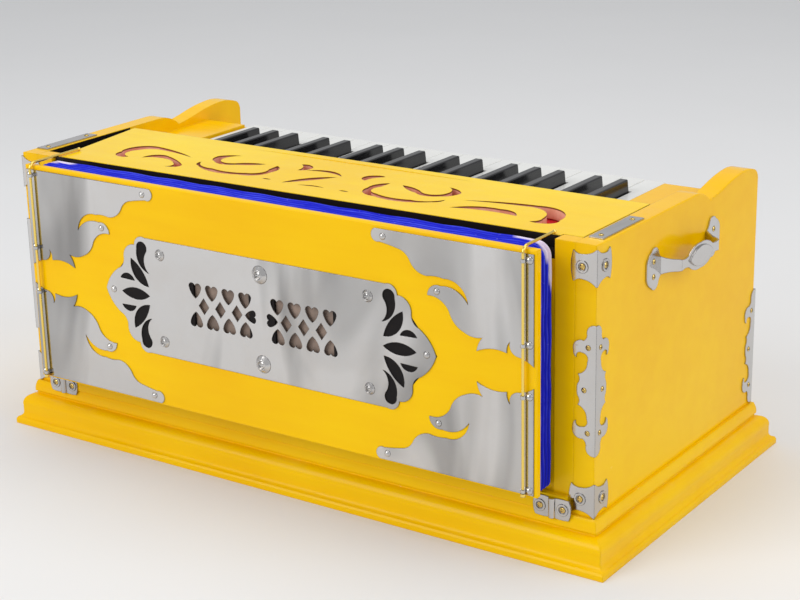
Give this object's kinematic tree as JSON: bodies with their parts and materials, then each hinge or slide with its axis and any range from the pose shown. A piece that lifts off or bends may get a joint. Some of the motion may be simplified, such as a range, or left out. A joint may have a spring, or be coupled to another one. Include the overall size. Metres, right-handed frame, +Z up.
{
  "type": "indian harmonium",
  "caption": "Indian harmonium: yellow enamelled case with moulded plinth, hinged rear bellows board, pierced plates, spring latches, fretwork lid and a keyboard of free-moving keys.",
  "frame": {"origin": "centre of the plinth's flat underside", "axes": "+Z up; +Y towards the player's side with the keys' fronts; -Y towards the bellows; +X towards the low notes"},
  "size_m": [0.653, 0.3582, 0.2754],
  "materials": {
    "yellow_paint": "glossy yellow enamel over wood",
    "lid_paint": "glossy yellow enamel over wood",
    "bare_wood": "sealed softwood",
    "reed_brass": "filed",
    "screw_brass": "polished",
    "bellows_cloth": "woven cotton",
    "flap_leather": "matte",
    "plated_sheet": "bright nickel plating",
    "spring_wire": "bright drawn wire",
    "knob_black": "glossy",
    "key_white": "glossy",
    "key_black": "glossy"
  },
  "bodies": {
    "case": {"base": "yellow_paint", "cheek_left": "yellow_paint", "cheek_right": "yellow_paint", "front_board": "yellow_paint", "rear_frame": "yellow_paint", "lid": "lid_paint", "reed_board": "bare_wood", "reeds": "reed_brass", "key_rail": "bare_wood", "corner_brackets": "plated_sheet", "side_handles": "plated_sheet", "case_screws": "screw_brass"},
    "bellows_front": {"bellows_board": "yellow_paint", "grille_plate": "plated_sheet", "corner_plates": "plated_sheet", "board_fixings": "plated_sheet"},
    "bellows_pack": {"bellows_folds": "bellows_cloth"},
    "flap": {"intake_flap": "flap_leather"},
    "latch_left": {"latch_wire_left": "spring_wire"},
    "latch_right": {"latch_wire_right": "spring_wire"},
    "reservoir": {"reservoir_board": "bare_wood"},
    "stop_left": {"stop_knob_left": "knob_black"},
    "stop_right": {"stop_knob_right": "knob_black"},
    "note_c3": {"key_c3": "key_white"},
    "note_d3": {"key_d3": "key_white"},
    "note_e3": {"key_e3": "key_white"},
    "note_f3": {"key_f3": "key_white"},
    "note_g3": {"key_g3": "key_white"},
    "note_a3": {"key_a3": "key_white"},
    "note_b3": {"key_b3": "key_white"},
    "note_c4": {"key_c4": "key_white"},
    "note_d4": {"key_d4": "key_white"},
    "note_e4": {"key_e4": "key_white"},
    "note_f4": {"key_f4": "key_white"},
    "note_g4": {"key_g4": "key_white"},
    "note_a4": {"key_a4": "key_white"},
    "note_b4": {"key_b4": "key_white"},
    "note_c5": {"key_c5": "key_white"},
    "note_d5": {"key_d5": "key_white"},
    "note_e5": {"key_e5": "key_white"},
    "note_f5": {"key_f5": "key_white"},
    "note_g5": {"key_g5": "key_white"},
    "note_a5": {"key_a5": "key_white"},
    "note_b5": {"key_b5": "key_white"},
    "note_c6": {"key_c6": "key_white"},
    "note_c_sharp3": {"key_c_sharp3": "key_black"},
    "note_d_sharp3": {"key_d_sharp3": "key_black"},
    "note_f_sharp3": {"key_f_sharp3": "key_black"},
    "note_g_sharp3": {"key_g_sharp3": "key_black"},
    "note_a_sharp3": {"key_a_sharp3": "key_black"},
    "note_c_sharp4": {"key_c_sharp4": "key_black"},
    "note_d_sharp4": {"key_d_sharp4": "key_black"},
    "note_f_sharp4": {"key_f_sharp4": "key_black"},
    "note_g_sharp4": {"key_g_sharp4": "key_black"},
    "note_a_sharp4": {"key_a_sharp4": "key_black"},
    "note_c_sharp5": {"key_c_sharp5": "key_black"},
    "note_d_sharp5": {"key_d_sharp5": "key_black"},
    "note_f_sharp5": {"key_f_sharp5": "key_black"},
    "note_g_sharp5": {"key_g_sharp5": "key_black"},
    "note_a_sharp5": {"key_a_sharp5": "key_black"}
  },
  "joints": [
    {"name": "bellows_swing", "type": "hinge", "parent": "case", "child": "bellows_front", "pos_m": [0, -0.16, 0.061], "axis": [1, 0, 0], "range_deg": [0, 26]},
    {"name": "bellows_open", "type": "hinge", "parent": "case", "child": "bellows_pack", "pos_m": [0, -0.16, 0.061], "axis": [1, 0, 0], "range_deg": [0, 13]},
    {"name": "flap_lift", "type": "hinge", "parent": "bellows_front", "child": "flap", "pos_m": [0, -0.1789, 0.19975], "axis": [1, 0, 0], "range_deg": [0, 2], "stiffness_Nm_per_rad": 0.01, "springref_deg": -11.46},
    {"name": "latch_left_turn", "type": "hinge", "parent": "bellows_front", "child": "latch_left", "pos_m": [-0.2621, -0.186, 0.166], "axis": [0, 0, -1], "range_deg": [0, 95]},
    {"name": "latch_right_turn", "type": "hinge", "parent": "bellows_front", "child": "latch_right", "pos_m": [0.2621, -0.186, 0.166], "axis": [0, 0, 1], "range_deg": [0, 95]},
    {"name": "reservoir_fill", "type": "hinge", "parent": "case", "child": "reservoir", "pos_m": [0, -0.133, 0.06], "axis": [1, 0, 0], "range_deg": [0, 8], "stiffness_Nm_per_rad": 0.6, "springref_deg": -17.19},
    {"name": "stop_left_pull", "type": "slide", "parent": "case", "child": "stop_left", "axis": [0, 1, 0], "range_m": [0, 0.012]},
    {"name": "stop_right_pull", "type": "slide", "parent": "case", "child": "stop_right", "axis": [0, 1, 0], "range_m": [0, 0.012]},
    {"name": "press_c3", "type": "hinge", "parent": "case", "child": "note_c3", "pos_m": [0, 0, 0.234], "axis": [-1, 0, 0], "range_deg": [0, 4], "stiffness_Nm_per_rad": 0.35, "springref_deg": -14.32},
    {"name": "press_d3", "type": "hinge", "parent": "case", "child": "note_d3", "pos_m": [0, 0, 0.234], "axis": [-1, 0, 0], "range_deg": [0, 4], "stiffness_Nm_per_rad": 0.35, "springref_deg": -14.32},
    {"name": "press_e3", "type": "hinge", "parent": "case", "child": "note_e3", "pos_m": [0, 0, 0.234], "axis": [-1, 0, 0], "range_deg": [0, 4], "stiffness_Nm_per_rad": 0.35, "springref_deg": -14.32},
    {"name": "press_f3", "type": "hinge", "parent": "case", "child": "note_f3", "pos_m": [0, 0, 0.234], "axis": [-1, 0, 0], "range_deg": [0, 4], "stiffness_Nm_per_rad": 0.35, "springref_deg": -14.32},
    {"name": "press_g3", "type": "hinge", "parent": "case", "child": "note_g3", "pos_m": [0, 0, 0.234], "axis": [-1, 0, 0], "range_deg": [0, 4], "stiffness_Nm_per_rad": 0.35, "springref_deg": -14.32},
    {"name": "press_a3", "type": "hinge", "parent": "case", "child": "note_a3", "pos_m": [0, 0, 0.234], "axis": [-1, 0, 0], "range_deg": [0, 4], "stiffness_Nm_per_rad": 0.35, "springref_deg": -14.32},
    {"name": "press_b3", "type": "hinge", "parent": "case", "child": "note_b3", "pos_m": [0, 0, 0.234], "axis": [-1, 0, 0], "range_deg": [0, 4], "stiffness_Nm_per_rad": 0.35, "springref_deg": -14.32},
    {"name": "press_c4", "type": "hinge", "parent": "case", "child": "note_c4", "pos_m": [0, 0, 0.234], "axis": [-1, 0, 0], "range_deg": [0, 4], "stiffness_Nm_per_rad": 0.35, "springref_deg": -14.32},
    {"name": "press_d4", "type": "hinge", "parent": "case", "child": "note_d4", "pos_m": [0, 0, 0.234], "axis": [-1, 0, 0], "range_deg": [0, 4], "stiffness_Nm_per_rad": 0.35, "springref_deg": -14.32},
    {"name": "press_e4", "type": "hinge", "parent": "case", "child": "note_e4", "pos_m": [0, 0, 0.234], "axis": [-1, 0, 0], "range_deg": [0, 4], "stiffness_Nm_per_rad": 0.35, "springref_deg": -14.32},
    {"name": "press_f4", "type": "hinge", "parent": "case", "child": "note_f4", "pos_m": [0, 0, 0.234], "axis": [-1, 0, 0], "range_deg": [0, 4], "stiffness_Nm_per_rad": 0.35, "springref_deg": -14.32},
    {"name": "press_g4", "type": "hinge", "parent": "case", "child": "note_g4", "pos_m": [0, 0, 0.234], "axis": [-1, 0, 0], "range_deg": [0, 4], "stiffness_Nm_per_rad": 0.35, "springref_deg": -14.32},
    {"name": "press_a4", "type": "hinge", "parent": "case", "child": "note_a4", "pos_m": [0, 0, 0.234], "axis": [-1, 0, 0], "range_deg": [0, 4], "stiffness_Nm_per_rad": 0.35, "springref_deg": -14.32},
    {"name": "press_b4", "type": "hinge", "parent": "case", "child": "note_b4", "pos_m": [0, 0, 0.234], "axis": [-1, 0, 0], "range_deg": [0, 4], "stiffness_Nm_per_rad": 0.35, "springref_deg": -14.32},
    {"name": "press_c5", "type": "hinge", "parent": "case", "child": "note_c5", "pos_m": [0, 0, 0.234], "axis": [-1, 0, 0], "range_deg": [0, 4], "stiffness_Nm_per_rad": 0.35, "springref_deg": -14.32},
    {"name": "press_d5", "type": "hinge", "parent": "case", "child": "note_d5", "pos_m": [0, 0, 0.234], "axis": [-1, 0, 0], "range_deg": [0, 4], "stiffness_Nm_per_rad": 0.35, "springref_deg": -14.32},
    {"name": "press_e5", "type": "hinge", "parent": "case", "child": "note_e5", "pos_m": [0, 0, 0.234], "axis": [-1, 0, 0], "range_deg": [0, 4], "stiffness_Nm_per_rad": 0.35, "springref_deg": -14.32},
    {"name": "press_f5", "type": "hinge", "parent": "case", "child": "note_f5", "pos_m": [0, 0, 0.234], "axis": [-1, 0, 0], "range_deg": [0, 4], "stiffness_Nm_per_rad": 0.35, "springref_deg": -14.32},
    {"name": "press_g5", "type": "hinge", "parent": "case", "child": "note_g5", "pos_m": [0, 0, 0.234], "axis": [-1, 0, 0], "range_deg": [0, 4], "stiffness_Nm_per_rad": 0.35, "springref_deg": -14.32},
    {"name": "press_a5", "type": "hinge", "parent": "case", "child": "note_a5", "pos_m": [0, 0, 0.234], "axis": [-1, 0, 0], "range_deg": [0, 4], "stiffness_Nm_per_rad": 0.35, "springref_deg": -14.32},
    {"name": "press_b5", "type": "hinge", "parent": "case", "child": "note_b5", "pos_m": [0, 0, 0.234], "axis": [-1, 0, 0], "range_deg": [0, 4], "stiffness_Nm_per_rad": 0.35, "springref_deg": -14.32},
    {"name": "press_c6", "type": "hinge", "parent": "case", "child": "note_c6", "pos_m": [0, 0, 0.234], "axis": [-1, 0, 0], "range_deg": [0, 4], "stiffness_Nm_per_rad": 0.35, "springref_deg": -14.32},
    {"name": "press_c_sharp3", "type": "hinge", "parent": "case", "child": "note_c_sharp3", "pos_m": [0, 0, 0.234], "axis": [-1, 0, 0], "range_deg": [0, 4], "stiffness_Nm_per_rad": 0.35, "springref_deg": -14.32},
    {"name": "press_d_sharp3", "type": "hinge", "parent": "case", "child": "note_d_sharp3", "pos_m": [0, 0, 0.234], "axis": [-1, 0, 0], "range_deg": [0, 4], "stiffness_Nm_per_rad": 0.35, "springref_deg": -14.32},
    {"name": "press_f_sharp3", "type": "hinge", "parent": "case", "child": "note_f_sharp3", "pos_m": [0, 0, 0.234], "axis": [-1, 0, 0], "range_deg": [0, 4], "stiffness_Nm_per_rad": 0.35, "springref_deg": -14.32},
    {"name": "press_g_sharp3", "type": "hinge", "parent": "case", "child": "note_g_sharp3", "pos_m": [0, 0, 0.234], "axis": [-1, 0, 0], "range_deg": [0, 4], "stiffness_Nm_per_rad": 0.35, "springref_deg": -14.32},
    {"name": "press_a_sharp3", "type": "hinge", "parent": "case", "child": "note_a_sharp3", "pos_m": [0, 0, 0.234], "axis": [-1, 0, 0], "range_deg": [0, 4], "stiffness_Nm_per_rad": 0.35, "springref_deg": -14.32},
    {"name": "press_c_sharp4", "type": "hinge", "parent": "case", "child": "note_c_sharp4", "pos_m": [0, 0, 0.234], "axis": [-1, 0, 0], "range_deg": [0, 4], "stiffness_Nm_per_rad": 0.35, "springref_deg": -14.32},
    {"name": "press_d_sharp4", "type": "hinge", "parent": "case", "child": "note_d_sharp4", "pos_m": [0, 0, 0.234], "axis": [-1, 0, 0], "range_deg": [0, 4], "stiffness_Nm_per_rad": 0.35, "springref_deg": -14.32},
    {"name": "press_f_sharp4", "type": "hinge", "parent": "case", "child": "note_f_sharp4", "pos_m": [0, 0, 0.234], "axis": [-1, 0, 0], "range_deg": [0, 4], "stiffness_Nm_per_rad": 0.35, "springref_deg": -14.32},
    {"name": "press_g_sharp4", "type": "hinge", "parent": "case", "child": "note_g_sharp4", "pos_m": [0, 0, 0.234], "axis": [-1, 0, 0], "range_deg": [0, 4], "stiffness_Nm_per_rad": 0.35, "springref_deg": -14.32},
    {"name": "press_a_sharp4", "type": "hinge", "parent": "case", "child": "note_a_sharp4", "pos_m": [0, 0, 0.234], "axis": [-1, 0, 0], "range_deg": [0, 4], "stiffness_Nm_per_rad": 0.35, "springref_deg": -14.32},
    {"name": "press_c_sharp5", "type": "hinge", "parent": "case", "child": "note_c_sharp5", "pos_m": [0, 0, 0.234], "axis": [-1, 0, 0], "range_deg": [0, 4], "stiffness_Nm_per_rad": 0.35, "springref_deg": -14.32},
    {"name": "press_d_sharp5", "type": "hinge", "parent": "case", "child": "note_d_sharp5", "pos_m": [0, 0, 0.234], "axis": [-1, 0, 0], "range_deg": [0, 4], "stiffness_Nm_per_rad": 0.35, "springref_deg": -14.32},
    {"name": "press_f_sharp5", "type": "hinge", "parent": "case", "child": "note_f_sharp5", "pos_m": [0, 0, 0.234], "axis": [-1, 0, 0], "range_deg": [0, 4], "stiffness_Nm_per_rad": 0.35, "springref_deg": -14.32},
    {"name": "press_g_sharp5", "type": "hinge", "parent": "case", "child": "note_g_sharp5", "pos_m": [0, 0, 0.234], "axis": [-1, 0, 0], "range_deg": [0, 4], "stiffness_Nm_per_rad": 0.35, "springref_deg": -14.32},
    {"name": "press_a_sharp5", "type": "hinge", "parent": "case", "child": "note_a_sharp5", "pos_m": [0, 0, 0.234], "axis": [-1, 0, 0], "range_deg": [0, 4], "stiffness_Nm_per_rad": 0.35, "springref_deg": -14.32}
  ],
  "couplings": [
    {"joint": "bellows_open", "follows": "bellows_swing", "ratio": 0.5}
  ]
}
